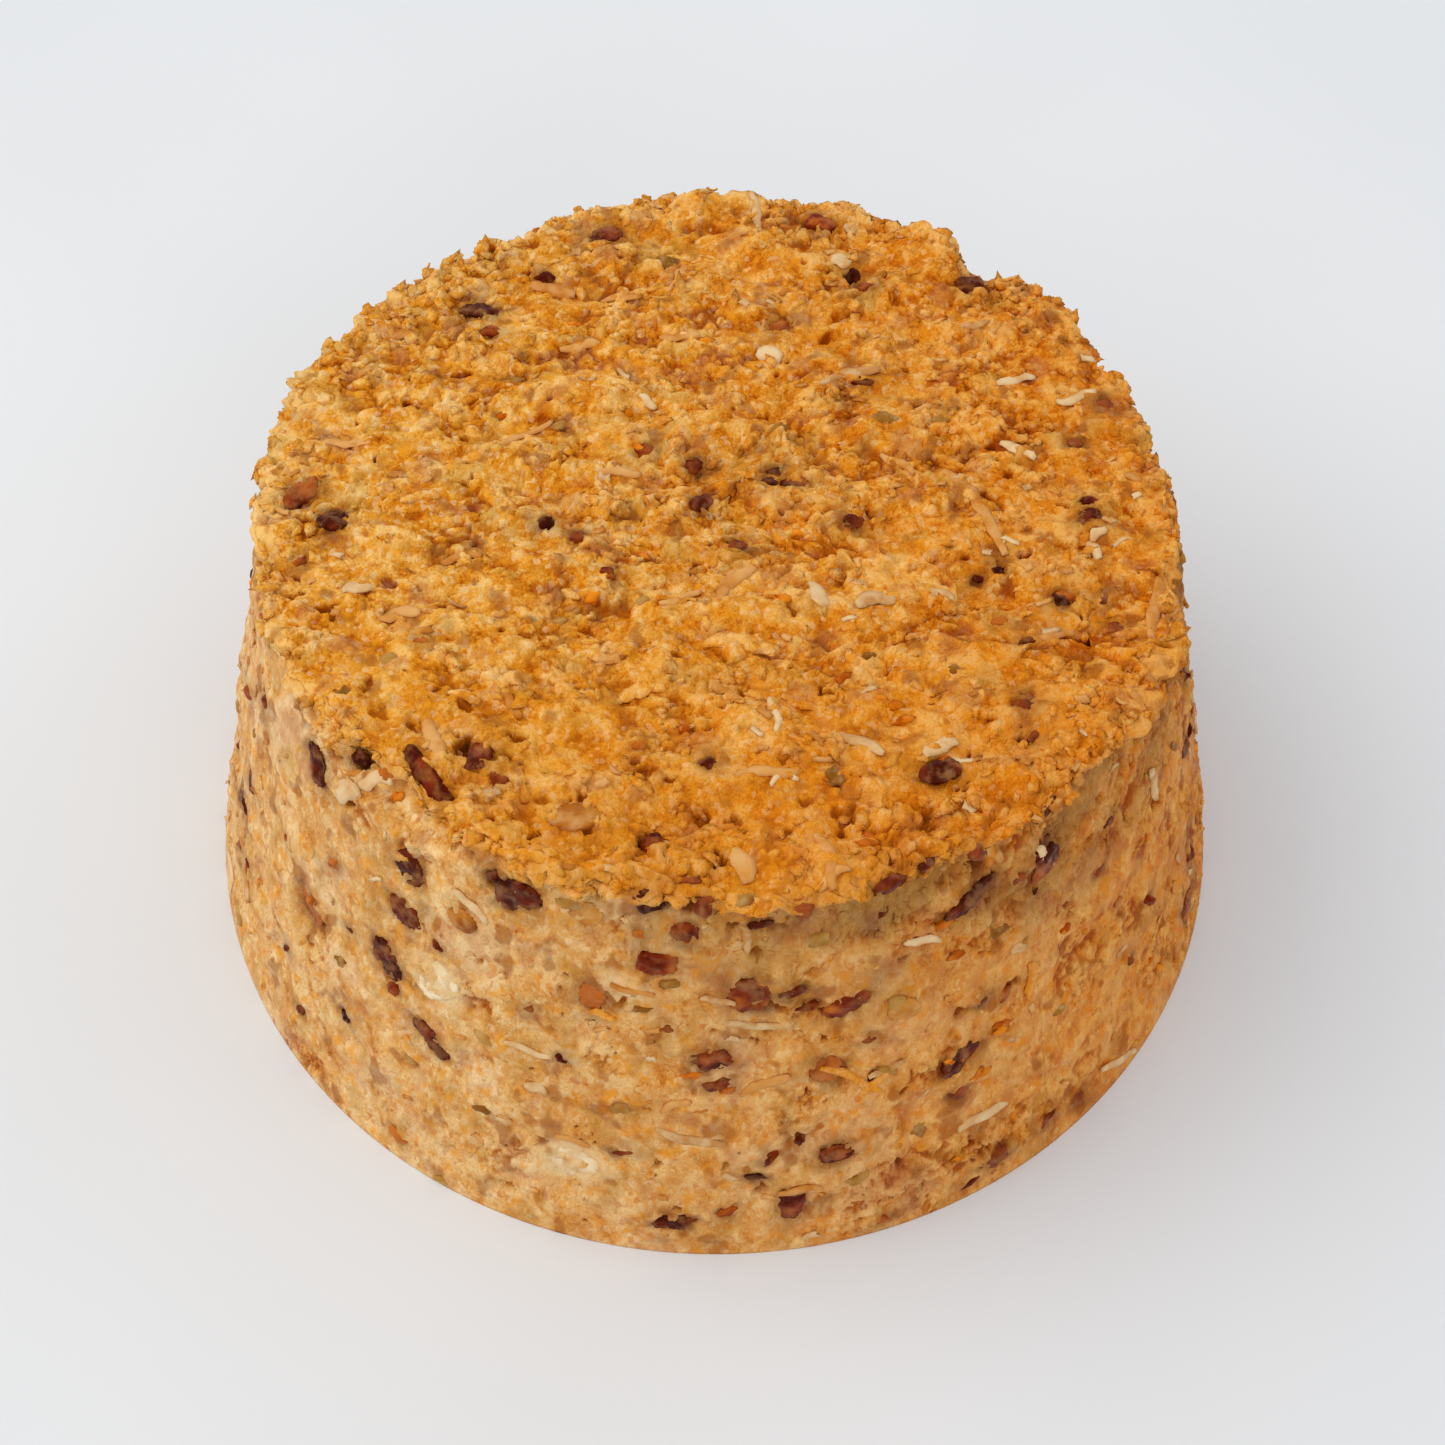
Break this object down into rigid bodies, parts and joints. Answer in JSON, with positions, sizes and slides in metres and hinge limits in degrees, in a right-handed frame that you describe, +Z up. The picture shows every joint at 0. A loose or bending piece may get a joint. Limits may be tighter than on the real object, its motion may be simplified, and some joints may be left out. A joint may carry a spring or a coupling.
{
  "type": "fruit cake",
  "caption": "Round tapered fruit and nut cake, unfrosted, with a torn flat top, a ragged rim broken at one side, and fruit set in the crumb.",
  "frame": {"origin": "centre of the flat base, which is the lowest point", "axes": "+Z up through the middle of the top; -Y towards the front seen in the picture; +X to the viewer's right"},
  "size_m": [0.1868, 0.1872, 0.0903],
  "materials": {
    "crumb": "moist baked crumb, torn on top, pressed smoother on the wall",
    "raisin": "dark moist raisin skin, soft shine",
    "date": "cut date, deep red-brown, sticky shine",
    "sultana": "amber translucent sultana skin, soft shine",
    "nut": "pale blanched nut, matte"
  },
  "bodies": {
    "root": {"cake": "crumb", "date_01": "date", "date_02": "date", "date_03": "date", "date_04": "date", "date_05": "date", "date_06": "date", "date_07": "date", "date_08": "date", "date_09": "date", "nut_01": "nut", "nut_02": "nut", "nut_03": "nut", "raisin_01": "raisin", "raisin_02": "raisin", "raisin_03": "raisin", "raisin_04": "raisin", "raisin_05": "raisin", "raisin_06": "raisin", "raisin_07": "raisin", "raisin_08": "raisin", "raisin_09": "raisin", "raisin_10": "raisin", "raisin_11": "raisin", "raisin_12": "raisin", "raisin_13": "raisin", "raisin_14": "raisin", "raisin_15": "raisin", "raisin_16": "raisin", "raisin_17": "raisin", "raisin_18": "raisin", "raisin_19": "raisin", "raisin_20": "raisin", "raisin_21": "raisin", "raisin_22": "raisin", "raisin_23": "raisin", "raisin_24": "raisin", "raisin_25": "raisin", "raisin_26": "raisin", "raisin_27": "raisin", "raisin_28": "raisin", "raisin_29": "raisin", "raisin_30": "raisin", "raisin_31": "raisin", "raisin_32": "raisin", "raisin_33": "raisin", "raisin_34": "raisin", "raisin_35": "raisin", "raisin_36": "raisin", "sultana_01": "sultana", "sultana_02": "sultana", "sultana_03": "sultana", "sultana_04": "sultana", "sultana_05": "sultana", "sultana_06": "sultana", "sultana_07": "sultana"}
  },
  "joints": []
}
